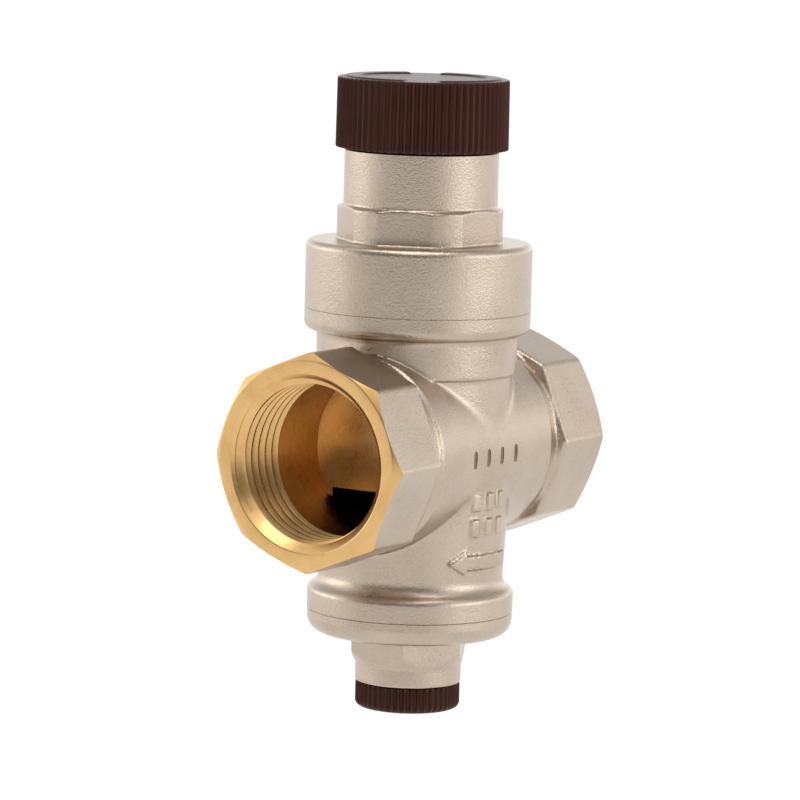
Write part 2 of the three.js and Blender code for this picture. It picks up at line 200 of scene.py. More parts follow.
def ring_faces(rings, columns, closed):
    """Quads between neighbouring rings, and triangles round a point on the axis."""
    faces = []
    pairs = list(zip(rings, rings[1:]))
    if closed:
        pairs.append((rings[-1], rings[0]))
    for a, b in pairs:
        for j in range(columns):
            k = (j + 1) % columns
            if len(a) == 1:
                faces.append((a[0], b[k], b[j]))
            elif len(b) == 1:
                faces.append((a[j], a[k], b[0]))
            else:
                faces.append((a[j], a[k], b[k], b[j]))
    return faces


def revolved(name, profile, material, columns, ribs=0, rib_depth=0.0, lift=None):
    """Rings about Z through profile rows of (radius, height, share of the rib depth)."""
    angles = np.arange(columns) * 2 * math.pi / columns
    groove = rib_groove(angles * ribs / (2 * math.pi)) * rib_depth
    closed = profile[0][0] > 0
    points, rings = [], []
    for r, z, share in profile:
        if r == 0:
            rings.append([len(points)])
            points.append((0.0, 0.0, z))
            continue
        rings.append(list(range(len(points), len(points) + columns)))
        radius = r - share * groove
        level = z + (lift(r, angles) if lift else 0 * angles)
        points.extend(zip(radius * np.cos(angles), radius * np.sin(angles), level))
    faces = ring_faces(rings, columns, closed)
    return mesh_from(name, points, outward(points, faces), material)


def rib_groove(turns):
    """Depth of a grip's groove, 0 on a narrow crest and 1 in the wide hollow between crests."""
    wave = np.sin(math.pi * turns) ** 2
    return np.clip(wave * 1.45, 0, 1) ** 0.75


def turned(name, profile, material, columns=128, radius=0.15, along_x=False, mirror=False):
    """A turned mesh. The profile starts and ends on the axis, or closes on itself."""
    if profile[0][0] > 0:
        middle = [(profile[0][i] + profile[-1][i]) / 2 for i in (0, 1)]
        profile = rounded([middle, *profile, middle], radius)[:-1]
    else:
        profile = rounded(profile, radius)
    mesh = revolved(name, [(r, z, 0) for r, z in profile], material, columns)
    if along_x:
        mesh.transform(Matrix(((0, 0, 1, 0), (1, 0, 0, 0), (0, 1, 0, 0), (0, 0, 0, 1))))
    if mirror:
        mesh.transform(Matrix.Rotation(math.pi, 4, "Z"))
    return mesh


def swept(name, centres, section, frames, material):
    """A closed section carried along centre points; a frame gives the section's two directions."""
    count = len(section)
    points, rings = [], []
    for centre, (first, second) in zip(centres, frames):
        rings.append(list(range(len(points), len(points) + count)))
        points.extend(centre + a * first + b * second for a, b in section)
    faces = [tuple(reversed(rings[0])), tuple(rings[-1])]
    for a, b in zip(rings, rings[1:]):
        faces += [(a[j], a[(j + 1) % count], b[(j + 1) % count], b[j]) for j in range(count)]
    return mesh_from(name, points, outward(points, faces), material)


def groove_tool(name, r_open, r_deep, start, end, lead, material, along_x=False):
    """A V groove wound about an axis between radius r_open and r_deep, running out at its end."""
    per_turn = 72
    side = 1 if r_deep > r_open else -1
    depth = abs(r_deep - r_open)
    mouth, root, lift = 0.41 * lead, 0.08 * lead, 0.12
    slope = (mouth - root) / depth
    section = [
        (-side * lift, -mouth - lift * slope), (side * 0.9 * depth, -root - 0.1 * depth * slope),
        (side * depth, -0.6 * root), (side * depth, 0.6 * root),
        (side * 0.9 * depth, root + 0.1 * depth * slope), (-side * lift, mouth + lift * slope),
    ]
    count = int(abs(end - start) / lead * per_turn)
    axis = Vector((1, 0, 0)) if along_x else Vector((0, 0, 1))
    centres, frames = [], []
    for i in range(count + 1):
        angle = i * 2 * math.pi / per_turn
        cos, sin = math.cos(angle), math.sin(angle)
        outwards = Vector((0, cos, sin)) if along_x else Vector((cos, sin, 0))
        run_out = max(0.0, 1 - (count - i) / (0.5 * per_turn))
        radius = r_open - side * run_out * (depth + lift)
        centres.append(outwards * radius + axis * (start + (end - start) * i / count))
        frames.append((outwards, axis))
    return swept(name, centres, section, frames, material)


def cut(mesh, tool):
    """The mesh cut by the tool mesh; cut faces keep the tool's material."""
    target = new_object("cut_target", mesh)
    other = new_object("cut_tool", tool)
    modifier = target.modifiers.new("cut", "BOOLEAN")
    modifier.operation = "DIFFERENCE"
    modifier.object = other
    modifier.solver = "MANIFOLD"
    modifier.material_mode = "TRANSFER"
    depsgraph = bpy.context.evaluated_depsgraph_get()
    result = bpy.data.meshes.new_from_object(target.evaluated_get(depsgraph))
    result.name = mesh.name
    for obj in (target, other):
        bpy.data.objects.remove(obj)
    return result


# ---------------------------------------------------------------- distance fields

def soft_min(a, b, k):
    """Union of two fields with a fillet of about k."""
    h = np.maximum(k - np.abs(a - b), 0) / k
    return np.minimum(a, b) - h * h * k / 4


def soft_max(a, b, k):
    """Intersection of two fields with a rounded edge of about k."""
    return -soft_min(-a, -b, k)


def disc(r, z, radius, low, high, edge):
    """A disc of the given radius between two levels, with rounded rims."""
    qr = r - (radius - edge)
    qz = np.abs(z - (low + high) / 2) - ((high - low) / 2 - edge)
    outside = np.hypot(np.maximum(qr, 0), np.maximum(qz, 0))
    return np.minimum(np.maximum(qr, qz), 0) + outside - edge


def polygon_prism(a, b, sides, half, first_flat, edge):
    """An endless prism with flats at half from its axis."""
    result = None
    for i in range(sides):
        angle = first_flat + i * 2 * math.pi / sides
        flat = a * math.cos(angle) + b * math.sin(angle) - half
        result = flat if result is None else soft_max(result, flat, edge)
    return result


def plate(a, b, centre, half, edge):
    """A rounded rectangle in two coordinates."""
    qa = np.abs(a - centre[0]) - (half[0] - edge)
    qb = np.abs(b - centre[1]) - (half[1] - edge)
    return np.minimum(np.maximum(qa, qb), 0) + np.hypot(np.maximum(qa, 0), np.maximum(qb, 0)) - edge


def meshed(name, field, low, high, voxel, material):
    """The zero surface of a field as an even quad mesh, drawn onto the field."""
    low = np.array(low, dtype=float)
    counts = np.ceil((np.array(high) - low) / voxel).astype(int) + 1
    x = (low[0] + voxel * np.arange(counts[0]))[:, None, None].astype(np.float32)
    y = (low[1] + voxel * np.arange(counts[1]))[None, :, None].astype(np.float32)
    z = (low[2] + voxel * np.arange(counts[2]))[None, None, :].astype(np.float32)
    grid = openvdb.FloatGrid()
    grid.background = 1.0
    grid.copyFromArray(np.ascontiguousarray(np.clip(field(x, y, z) / voxel, -4, 4).astype(np.float32)))
    points, quads = grid.convertToQuads(isovalue=0.0)
    points = points.astype(float) * voxel + low
    step = voxel / 8
    for _ in range(2):
        value = field(*points.T)
        slope = np.empty_like(points)
        for axis in range(3):
            shift = np.zeros(3)
            shift[axis] = step
            slope[:, axis] = (field(*(points + shift).T) - field(*(points - shift).T)) / (2 * step)
        size = np.maximum((slope ** 2).sum(1), 0.1)
        points -= slope * np.clip(value / size, -voxel / 2, voxel / 2)[:, None]
    return mesh_from(name, points, [tuple(q) for q in quads[:, ::-1].tolist()], material)


# ---------------------------------------------------------------- materials

class Look:
    """A material's node tree, with short ways to add to it."""

    def __init__(self, name, metallic=0.0):
        self.material = bpy.data.materials.new(name)
        self.material.use_nodes = True
        self.tree = self.material.node_tree
        self.shader = self.tree.nodes["Principled BSDF"]
        self.shader.inputs["Metallic"].default_value = metallic
        self.place = self.tree.nodes.new("ShaderNodeTexCoord").outputs["Object"]

    def node(self, kind, sockets=(), **settings):
        """A node with its sockets, given as values or as outputs of other nodes."""
        node = self.tree.nodes.new(kind)
        for key, value in settings.items():
            setattr(node, key, value)
        for key, value in dict(sockets).items():
            if isinstance(value, bpy.types.NodeSocket):
                self.tree.links.new(value, node.inputs[key])
            else:
                node.inputs[key].default_value = value
        return node

    def math(self, operation, a, b=0.0):
        """The output of a math node."""
        return self.node("ShaderNodeMath", {0: a, 1: b}, operation=operation).outputs[0]

    def noise(self, size_mm, detail=2.0, place=None):
        """Noise with spots of about the given size."""
        sockets = {"Vector": place or self.place, "Scale": 1 / (size_mm * MM), "Detail": detail}
        return self.node("ShaderNodeTexNoise", sockets).outputs["Fac"]

    def between(self, source, start, end, low, high):
        """The source, taken from the range start to end into the range low to high."""
        sockets = {"Value": source, "From Min": start, "From Max": end, "To Min": low, "To Max": high}
        return self.node("ShaderNodeMapRange", sockets).outputs["Result"]

    def mix(self, share, first, second):
        """A blend of two colours."""
        node = self.node("ShaderNodeMix", {"Factor": share}, data_type="RGBA")
        for socket, value in ((node.inputs[6], first), (node.inputs[7], second)):
            if isinstance(value, bpy.types.NodeSocket):
                self.tree.links.new(value, socket)
            else:
                socket.default_value = (*value, 1)
        return node.outputs[2]

    def bump(self, height, distance_mm, strength, before=None):
        """A normal bent by a height, on top of the normal before it."""
        sockets = {"Height": height, "Distance": distance_mm * MM, "Strength": strength}
        if before is not None:
            sockets["Normal"] = before
        return self.node("ShaderNodeBump", sockets).outputs["Normal"]

    def lathe_place(self, along_x):
        """Coordinates that follow a lathe: along the axis, and out from it."""
        parts = self.node("ShaderNodeSeparateXYZ", {0: self.place}).outputs
        axis, across = (parts[0], (parts[1], parts[2])) if along_x else (parts[2], (parts[0], parts[1]))
        squares = [self.math("MULTIPLY", part, part) for part in across]
        radius = self.math("SQRT", self.math("ADD", *squares))
        return self.node("ShaderNodeCombineXYZ", {0: axis, 1: radius}).outputs[0]

    def done(self, color=None, roughness=None, normal=None):
        """The material, with these outputs joined to its shader."""
        for key, value in (("Base Color", color), ("Roughness", roughness), ("Normal", normal)):
            if value is not None:
                self.tree.links.new(value, self.shader.inputs[key])
        return self.material


def nickel():
    """Blasted forging with a thin nickel plate: fine pebbles, satin, warm grey."""
    look = Look("nickel", metallic=1.0)
    cloud = look.noise(7.0, detail=3.0)
    pebble = look.noise(0.55, detail=1.0)
    grain = look.noise(0.26, detail=1.0)
    color = look.mix(look.between(cloud, 0.35, 0.65, 0, 1), (0.485, 0.400, 0.317), (0.535, 0.447, 0.36))
    speck = look.between(grain, 0.32, 0.62, 0.78, 1.0)
    color = look.mix(speck, (0.27, 0.21, 0.155), color)
    roughness = look.between(look.math("ADD", cloud, grain), 0.7, 1.3, 0.27, 0.34)
    normal = look.bump(pebble, 0.03, 0.8)
    normal = look.bump(grain, 0.045, 0.9, normal)
    return look.done(color, roughness, normal)


def turned_metal(name, dark, light, along_x, roughness=(0.24, 0.34)):
    """Bare machined metal: fine rings left by the tool, and faint staining."""
    look = Look(name, metallic=1.0)
    rings = look.noise(0.16, place=look.lathe_place(along_x))
    cloud = look.noise(4.0, detail=3.0)
    color = look.mix(look.between(cloud, 0.35, 0.65, 0, 1), dark, light)
    rough = look.between(look.math("ADD", cloud, rings), 0.7, 1.3, *roughness)
    return look.done(color, rough, look.bump(rings, 0.004, 0.8))


def moulded(name, dark, light, roughness=(0.36, 0.46), tint=(1, 1, 1), gloss=0.5):
    """Moulded plastic or rubber, with a fine matt grain."""
    look = Look(name)
    look.shader.inputs["Specular IOR Level"].default_value = gloss
    look.shader.inputs["Specular Tint"].default_value = (*tint, 1)
    cloud = look.noise(4.0, detail=3.0)
    grain = look.noise(0.25)
    color = look.mix(look.between(cloud, 0.35, 0.65, 0, 1), dark, light)
    rough = look.between(grain, 0.35, 0.65, *roughness)
    return look.done(color, rough, look.bump(grain, 0.008, 0.6))


NICKEL = nickel()
BRASS_X = turned_metal("turned_brass_across", (0.66, 0.40, 0.155), (0.74, 0.47, 0.20), True)
BRASS_Z = turned_metal("turned_brass_upright", (0.60, 0.38, 0.14), (0.68, 0.45, 0.19), False)
STAINLESS = turned_metal("stainless", (0.50, 0.50, 0.49), (0.56, 0.56, 0.55), False, (0.22, 0.32))
SPRING_STEEL = turned_metal("spring_steel", (0.20, 0.20, 0.20), (0.27, 0.27, 0.27), False, (0.34, 0.44))
INK = turned_metal("darkened_nickel", (0.20, 0.155, 0.10), (0.25, 0.195, 0.13), False, (0.5, 0.6))
BORDEAUX = moulded("bordeaux_plastic", (0.026, 0.0080, 0.0050), (0.035, 0.0108, 0.0070), (0.32, 0.42),
                   tint=(1, 0.55, 0.45), gloss=0.36)
# Black plastic for the shutter, partly painted shade: it stands in for the dark chamber seen through the
# outlet.
BLACK_PLASTIC_AND_SHADE = moulded("black_plastic", (0.010, 0.010, 0.010), (0.016, 0.016, 0.016))
RUBBER = moulded("rubber", (0.012, 0.012, 0.012), (0.020, 0.020, 0.020), (0.6, 0.75))
PTFE = moulded("ptfe", (0.72, 0.70, 0.64), (0.80, 0.78, 0.73), (0.35, 0.5))


# ---------------------------------------------------------------- body

ARROW_Z = -16.7
MARK_HEIGHT = 0.46
PAD_LEVELS = (-7.3, -11.3)
PAD_PLACES = (-4.4, -1.4, 1.6)
PAD_HALF = (0.85, 1.35)
DASHES_X = (-6.7, -2.85, 1.0, 5.0)
DASH_Z = -0.4


def smooth_step(value, start, end):
    """0 before the start, 1 after the end, smooth between them."""
    t = np.clip((value - start) / (end - start), 0, 1)
    return t * t * (3 - 2 * t)


def barrel_radius(z):
    """Radius of the barrel's forged skin: a slight taper, and a step up near the top."""
    taper = BARREL_GROWTH * np.clip((z + 20) / 12, 0, 1)
    return BARREL_R + taper + STEP_RISE * smooth_step(z, STEP_Z - 0.3, STEP_Z + 0.3)


def arrow_outline(x, z):
    """Flow arrow in the XZ plane, pointing at the outlet."""
    tip, wing, tail, half_head, half_shaft = -8.5, -5.6, 3.9, 1.95, 1.15
    slope = half_head / (wing - tip)
    head = (np.abs(z) - (x - tip) * slope) / math.hypot(1, slope)
    head = np.maximum(head, x - wing)
    middle = (wing + tail) / 2
    shaft = plate(x, z, (middle, 0), ((tail - wing) / 2 + 0.3, half_shaft), 0.15)
    return np.minimum(head, shaft)


def raised_marks(x, y, z, skin):
    """Flow arrow and two rows of plain cast pads that stand proud of the barrel's -Y side."""
    outline = arrow_outline(x, z - ARROW_Z)
    for level in PAD_LEVELS:
        for place in PAD_PLACES:
            outline = np.minimum(outline, plate(x, z, (place, level), PAD_HALF, 0.15))
    relief = soft_max(outline, skin - MARK_HEIGHT, 0.35)
    front = y + 4
    return np.maximum(relief, front)


def forging(x, y, z):
    """Distance to the outside of the forged body, before it is machined."""
    r = np.hypot(x, y)
    skin = r - barrel_radius(z)
    barrel = np.maximum(skin, np.abs(z + 1) - 26)
    barrel = soft_min(barrel, raised_marks(x, y, z, skin), 0.3)
    upper = disc(r, z, UPPER_RIM_R, UPPER_RIM_Z, UPPER_SEAM + 6, 1.4)
    lower = disc(r, z, LOWER_RIM_R, LOWER_SEAM - 3, LOWER_RIM_Z, 0.7)
    trunk = soft_min(soft_min(barrel, upper, 0.8), lower, 2.4)
    rx = np.hypot(y, z)
    ax = np.abs(x)
    arm = disc(rx, ax, ARM_R, -ARM_END, ARM_END, 0.4)
    neck = disc(rx, ax, NECK_R, -OCT_BACK - 1, OCT_BACK + 1, 0.1)
    octagon = polygon_prism(y, z, 8, OCT_HALF, math.pi / 8, 0.35)
    slab = np.abs(ax - (OCT_BACK + FACE_X + 2) / 2) - (FACE_X + 2 - OCT_BACK) / 2
    octagon = soft_max(octagon, slab, 0.95)
    arms = soft_min(soft_min(arm, neck, 0.6), octagon, 0.5)
    return soft_min(trunk, arms, 0.5)


def port_tool(end, side):
    """What the lathe takes off one port: face, corner chamfer, countersink, bore and relief."""
    sink = MOUTH_R - MINOR_R
    far = FACE_X + 3
    wide = 22.0
    profile = [
        (0, end), (RELIEF_R, end), (RELIEF_R, RELIEF_X), (MINOR_R, RELIEF_X + 0.5),
        (MINOR_R, FACE_X - sink), (MOUTH_R, FACE_X), (RIM_R, FACE_X),
        (wide, FACE_X - (wide - RIM_R) * OCT_CHAMFER), (wide, far), (0, far),
    ]
    return turned("port_tool", profile, BRASS_X, 160, 0.12, along_x=True, mirror=side < 0)


def vertical_tool():
    """Everything bored along the vertical axis."""
    lower_chamber = [(0, -40), (13.1, -40), (13.1, -20.5), (12.6, -20.5), (12.6, -6.8)]
    seat_pocket = [(7.2, -6.8), (7.2, -4.2)]
    middle_chamber = [(6.4, -4.2), (6.4, 9.5), (5.4, 9.5), (5.4, 10.7)]
    guide_pocket = [(7.2, 10.7), (7.2, 14.5)]
    piston_chamber = [(13.5, 14.5), (13.5, SPIGOT_TOP + 5), (0, SPIGOT_TOP + 5)]
    profile = lower_chamber + seat_pocket + middle_chamber + guide_pocket + piston_chamber
    return turned("vertical_tool", profile, BRASS_Z, 144, 0.1)


def upper_joint_tool():
    """What the lathe takes off at the bonnet joint, down to the spigot."""
    chamfer_end = UPPER_SEAM - SEAM_EDGE - 0.2
    profile = [
        (0, SPIGOT_TOP), (SPIGOT_R, SPIGOT_TOP), (SPIGOT_R, UPPER_SEAM),
        (UPPER_RIM_R - SEAM_EDGE, UPPER_SEAM), (UPPER_RIM_R + 0.2, chamfer_end),
        (CLEAR, chamfer_end), (CLEAR, SPIGOT_TOP + 8), (0, SPIGOT_TOP + 8),
    ]
    return turned("upper_joint_tool", profile, NICKEL, 160, 0.02)


def lower_joint_tool():
    """What the lathe takes off at the bottom cap joint."""
    chamfer_end = LOWER_SEAM + SEAM_EDGE + 0.2
    profile = [
        (0, LOWER_SEAM), (LOWER_RIM_R - SEAM_EDGE, LOWER_SEAM), (LOWER_RIM_R + 0.2, chamfer_end),
        (CLEAR, chamfer_end), (CLEAR, LOWER_SEAM - 8), (0, LOWER_SEAM - 8),
    ]
    return turned("lower_joint_tool", profile, NICKEL, 160, 0.02)


def passage_tool():
    """The cross hole between the inlet bore and the middle chamber."""
    start, end = 0.5, 17
    profile = [(0, start), (PASSAGE_R, start), (PASSAGE_R, end), (0, end)]
    mesh = turned("passage_tool", profile, BRASS_X, 96, 0.1, along_x=True)
    mesh.transform(Matrix.Translation((0, 0, PASSAGE_Z * MM)))
    return mesh


def dash_tool(x):
    """A short upright dash engraved in the arm's -Y side."""
    depth, half_width, half_height = 0.08, 0.5, 1.45
    surface = -math.sqrt(ARM_R ** 2 - DASH_Z ** 2)
    steps = 24
    points = []
    for i in range(steps):
        angle = i * 2 * math.pi / steps
        across = half_width * math.cos(angle)
        along = half_height * math.copysign(abs(math.sin(angle)) ** 0.35, math.sin(angle))
        points.append((x + across, along))
    outer = [(px, surface - 1, DASH_Z + pz) for px, pz in points]
    inner = [(px, surface + depth, DASH_Z + pz) for px, pz in points]
    faces = [tuple(range(steps)), tuple(reversed(range(steps, 2 * steps)))]
    faces += [(i, steps + i, steps + (i + 1) % steps, (i + 1) % steps) for i in range(steps)]
    return mesh_from("dash_tool", outer + inner, outward(outer + inner, faces), INK)


def build_body():
    """The forged body, machined."""
    low = (-FACE_X - 2, -UPPER_RIM_R - 1, LOWER_SEAM - 2)
    high = (FACE_X + 2, UPPER_RIM_R + 1, SPIGOT_TOP + 1)
    mesh = meshed("body", forging, low, high, 0.33, NICKEL)
    tools = [upper_joint_tool(), lower_joint_tool(), port_tool(OUTLET_END, -1), port_tool(INLET_END, 1),
             vertical_tool(), passage_tool()]
    for side in (-1, 1):
        start, end = side * (FACE_X + 1.2), side * (RELIEF_X + 0.6)
        tools.append(groove_tool("port_thread", MINOR_R, MINOR_R + PORT_THREAD_DEPTH, start, end,
                                 PORT_PITCH, BRASS_X, along_x=True))
    tools += [dash_tool(x) for x in DASHES_X]
    for tool in tools:
        mesh = cut(mesh, tool)
    piece("body_finished", mesh, "body", "root", 28)


# ---------------------------------------------------------------- bonnet and bottom cap

def bonnet_forging(x, y, z):
    """Distance to the outside of the bonnet, before its threads and its bores are cut."""
    r = np.hypot(x, y)
    flange = disc(r, z, UPPER_RIM_R, UPPER_SEAM - 6, FLANGE_TOP, 1.0)
    neck = np.maximum(r - BONNET_NECK_R, np.abs(z - 40) - 18)
    hexagon = polygon_prism(x, y, 6, HEX_HALF, HEX_FIRST_FLAT, 0.1)
    hexagon = soft_max(hexagon, r - HEX_ROUND_R, 0.06)
    cone = (z - HEX_TOP + (r - HEX_HALF) * 0.4) * 0.93
    hexagon = np.maximum(soft_max(hexagon, cone, 0.2), 25 - z)
    return soft_min(soft_min(neck, hexagon, 0.2), flange, 0.35)


def bonnet_top_tool():
    """What the lathe takes off round the cap's thread, down to the shoulder."""
    chamfer_end = SHOULDER_Z - 0.55
    profile = [
        (0, BONNET_TOP), (CAP_THREAD_R - 0.6, BONNET_TOP), (CAP_THREAD_R, BONNET_TOP - 0.6),
        (CAP_THREAD_R, SHOULDER_Z), (BONNET_NECK_R - 0.25, SHOULDER_Z),
        (BONNET_NECK_R + 0.3, chamfer_end), (CLEAR, chamfer_end), (CLEAR, BONNET_TOP + 6),
        (0, BONNET_TOP + 6),
    ]
    return turned("bonnet_top_tool", profile, NICKEL, 160, 0.05)


def bonnet_joint_tool():
    """Joint face and the recess for the body's spigot."""
    base = UPPER_SEAM + SEAM_GAP
    chamfer_end = base + SEAM_EDGE + 0.2
    recess = SPIGOT_R + 0.2
    profile = [
        (0, base - 12), (CLEAR, base - 12), (CLEAR, chamfer_end), (UPPER_RIM_R + 0.2, chamfer_end),
        (UPPER_RIM_R - SEAM_EDGE, base), (recess, base), (recess, BONNET_CEILING), (0, BONNET_CEILING),
    ]
    return turned("bonnet_joint_tool", profile, NICKEL, 160, 0.02)


def spring_bore_tool():
    """Bore for the spring and the adjusting screw."""
    start, end = BONNET_CEILING - 3, BONNET_TOP + 4
    profile = [(0, start), (SPRING_BORE_R, start), (SPRING_BORE_R, end), (0, end)]
    return turned("spring_bore_tool", profile, BRASS_Z, 144, 0.02)


def build_bonnet():
    """The bonnet, with its threads for the cap and the adjusting screw."""
    reach = UPPER_RIM_R + 1
    low, high = (-reach, -reach, UPPER_SEAM - 3), (reach, reach, BONNET_TOP + 2)
    mesh = meshed("bonnet", bonnet_forging, low, high, 0.2, NICKEL)
    tools = [
        bonnet_top_tool(), bonnet_joint_tool(), spring_bore_tool(),
        groove_tool("cap_thread", CAP_THREAD_R, CAP_THREAD_R - 0.75, BONNET_TOP + 1, SHOULDER_Z + 1.2,
                    CAP_PITCH, NICKEL),
        groove_tool("adjuster_thread", SPRING_BORE_R, SPRING_BORE_R + 0.7, BONNET_TOP + 1, 44, CAP_PITCH,
                    BRASS_Z),
    ]
    for tool in tools:
        mesh = cut(mesh, tool)
    piece("bonnet_finished", mesh, "bonnet", "root", 28)


def foot_forging(x, y, z):
    """Distance to the outside of the bottom cap, before it is machined."""
    r = np.hypot(x, y)
    cover = disc(r, z, LOWER_RIM_R, FOOT_BOTTOM, LOWER_SEAM + 8, 2.6)
    hexagon = polygon_prism(x, y, 6, FOOT_HEX_HALF, FOOT_HEX_CORNER + math.pi / 6, 0.1)
    taper = ((r - COLLAR_R) * 1.45 - (z + 34.3)) * 0.57
    hexagon = soft_max(hexagon, taper, 0.1)
    inside_cover = z + 27
    hexagon = np.maximum(hexagon, inside_cover)
    collar = disc(r, z, COLLAR_R, COLLAR_END, COLLAR_END + 12, 0.25)
    return soft_min(soft_min(hexagon, collar, 0.1), cover, 0.3)


def foot_top_tool():
    """What the lathe takes off above the joint face, round the plug and its seal's step."""
    plug_top, plug_r = -20.8, 12.9
    step_z, step_r = -22.4, 11.2
    base = LOWER_SEAM - SEAM_GAP
    chamfer_end = base - SEAM_EDGE - 0.2
    profile = [
        (0, plug_top), (step_r, plug_top), (step_r, step_z), (plug_r, step_z), (plug_r, base),
        (LOWER_RIM_R - SEAM_EDGE, base), (LOWER_RIM_R + 0.2, chamfer_end), (CLEAR, chamfer_end),
        (CLEAR, -12), (0, -12),
    ]
    return turned("foot_top_tool", profile, NICKEL, 160, 0.02)


def foot_bore_tool():
    """Gauge port and the hole above it."""
    mouth_r, hole_r = GAUGE_MINOR_R + 1.2, 3.5
    profile = [
        (0, COLLAR_END - 3), (mouth_r, COLLAR_END - 3), (mouth_r, COLLAR_END),
        (GAUGE_MINOR_R, COLLAR_END + 1), (GAUGE_MINOR_R, GAUGE_TOP), (hole_r, GAUGE_TOP), (hole_r, -15),
        (0, -15),
    ]
    return turned("foot_bore_tool", profile, BRASS_Z, 96, 0.1)


def build_foot():
    """The bottom cap, with its gauge port."""
    reach = LOWER_RIM_R + 1
    low, high = (-reach, -reach, COLLAR_END - 1), (reach, reach, -19)
    mesh = meshed("bottom_cap", foot_forging, low, high, 0.16, NICKEL)
    tools = [
        foot_top_tool(), foot_bore_tool(),
        groove_tool("gauge_thread", GAUGE_MINOR_R, GAUGE_MINOR_R + 0.85, COLLAR_END - 1, GAUGE_TOP - 1.2,
                    GAUGE_PITCH, BRASS_Z),
    ]
    for tool in tools:
        mesh = cut(mesh, tool)
    piece("bottom_cap_finished", mesh, "bottom_cap", "root", 28)


# ---------------------------------------------------------------- cap and gauge plug

CAP_RIBS = 70
CAP_RIB_DEPTH = 0.42
PAD_HEIGHT = 0.25
PAD_GAP_AT = math.radians(31)
PAD_HALF_GAP = math.radians(12)
PAD_INNER = (9.55, 9.95)  # radii between which a pad's inner edge rises
PAD_OUTER = (12.0, 12.4)


def cap_pads(r, angles):
    """Two low curved pads round the top of the cap."""
    if not 9.0 < r < 12.6:
        return 0 * angles
    radial = smooth_step(r, *PAD_INNER) * (1 - smooth_step(r, *PAD_OUTER))
    from_gap = np.abs((angles - PAD_GAP_AT + math.pi / 2) % math.pi - math.pi / 2)
    return PAD_HEIGHT * radial * smooth_step(from_gap, PAD_HALF_GAP, PAD_HALF_GAP + 0.05)


def build_cap():
    """The ribbed cap, threaded inside."""
    low, high = heights("cap")
    radius = span("cap")[1][0]
    top = high - PAD_HEIGHT
    ceiling, thread_r = 55.2, 11.35
    profile = [(0, ceiling, 0), (thread_r - 0.4, ceiling, 0), (thread_r, ceiling - 0.4, 0),
               (thread_r, low + 0.6, 0), (thread_r + 0.5, low + 0.1, 0), (thread_r + 0.8, low, 0),
               (radius - 0.25, low, 0.6), (radius - 0.08, low + 0.06, 0.85), (radius, low + 0.2, 1)]
    rows = 24
    for i in range(1, rows + 1):
        share = i / rows
        profile.append((radius - 0.08 * share, low + 0.2 + (top - 0.55 - low - 0.2) * share, 1))
    profile.append((radius - 0.09, top - 0.43, 0.9))
    rim = 0.32
    for i in range(7):
        angle = i / 6 * math.pi / 2
        share = max(0, 0.75 - i * 0.15)
        across, rise = rim * math.cos(angle), rim * math.sin(angle)
        profile.append((radius - 0.1 - rim + across, top - rim + rise, share))
    inner = [12.5, 12.4, 12.3, 12.2, 12.1, 12.0, 11.0, 10.0, 9.95, 9.85, 9.75, 9.65, 9.55, 9.4, 6.0, 2.5]
    profile += [(r, top - 0.03 * (1 - r / 13), 0) for r in inner]
    profile.append((0, top - 0.03, 0))
    mesh = revolved("cap", profile, BORDEAUX, CAP_RIBS * 12, CAP_RIBS, CAP_RIB_DEPTH, cap_pads)
    mesh = cut(mesh, groove_tool("cap_inner_thread", thread_r, thread_r + 0.65, low - 1, ceiling - 1.5,
                                 CAP_PITCH, BORDEAUX))
    piece("cap_finished", mesh, "cap", "cap", 40)


PLUG_RIBS = 48
PLUG_RIB_DEPTH = 0.36


def build_gauge_plug():
    """The ribbed plug, with a driver's slot below and a threaded shank above."""
    bottom, top = heights("gauge_plug")
    radius = span("gauge_plug")[1][0]
    grip_top = -37.35
    shank_r = GAUGE_MINOR_R + 0.15
    profile = [(0, bottom, 0), (3, bottom, 0), (radius - 1.5, bottom, 0), (radius - 1.1, bottom + 0.03, 0)]
    rim = 0.95
    for i in range(1, 8):
        angle = i / 7 * math.pi / 2
        share = 0 if i < 4 else (i - 3) / 4
        profile.append((radius - rim + rim * math.sin(angle), bottom + rim - rim * math.cos(angle), share))
    for i in range(1, 7):
        profile.append((radius, bottom + rim + (grip_top - 0.25 - bottom - rim) * i / 6, 1))
    profile += [(radius - 0.12, grip_top - 0.06, 0.8), (radius - 0.35, grip_top, 0.4), (7.0, grip_top, 0),
                (4.6, grip_top, 0), (4.5, grip_top + 0.1, 0), (4.5, grip_top + 1.9, 0),
                (4.7, grip_top + 2.1, 0), (shank_r - 0.4, grip_top + 2.1, 0), (shank_r, grip_top + 2.6, 0),
                (shank_r, top - 0.8, 0), (shank_r - 0.6, top, 0), (0, top, 0)]
    mesh = revolved("gauge_plug", profile, BORDEAUX, PLUG_RIBS * 12, PLUG_RIBS, PLUG_RIB_DEPTH)
    mesh = cut(mesh, slot_tool(11, 1.6, bottom - 1, bottom + 1.8, BORDEAUX))
    mesh = cut(mesh, groove_tool("plug_thread", shank_r, shank_r - 0.7, top + 1, grip_top + 3.4,
                                 GAUGE_PITCH, BORDEAUX))
    piece("gauge_plug_finished", mesh, "gauge_plug", "gauge_plug", 40)


def slot_tool(length, width, low, high, material):
    """A screwdriver slot with round ends, cut between two levels."""
    steps = 12
    outline = []
    for side in (1, -1):
        for i in range(steps + 1):
            angle = (i / steps - 0.5) * math.pi
            outline.append((side * (length / 2 - width / 2 + width / 2 * math.cos(angle)),
                            side * width / 2 * math.sin(angle)))
    count = len(outline)
    points = [(x, y, z) for z in (low, high) for x, y in outline]
    faces = [tuple(range(count)), tuple(range(count, 2 * count))[::-1]]
    faces += [(i, i + count, (i + 1) % count + count, (i + 1) % count) for i in range(count)]
    return mesh_from("slot_tool", points, outward(points, faces), material)


# ---------------------------------------------------------------- inner pieces

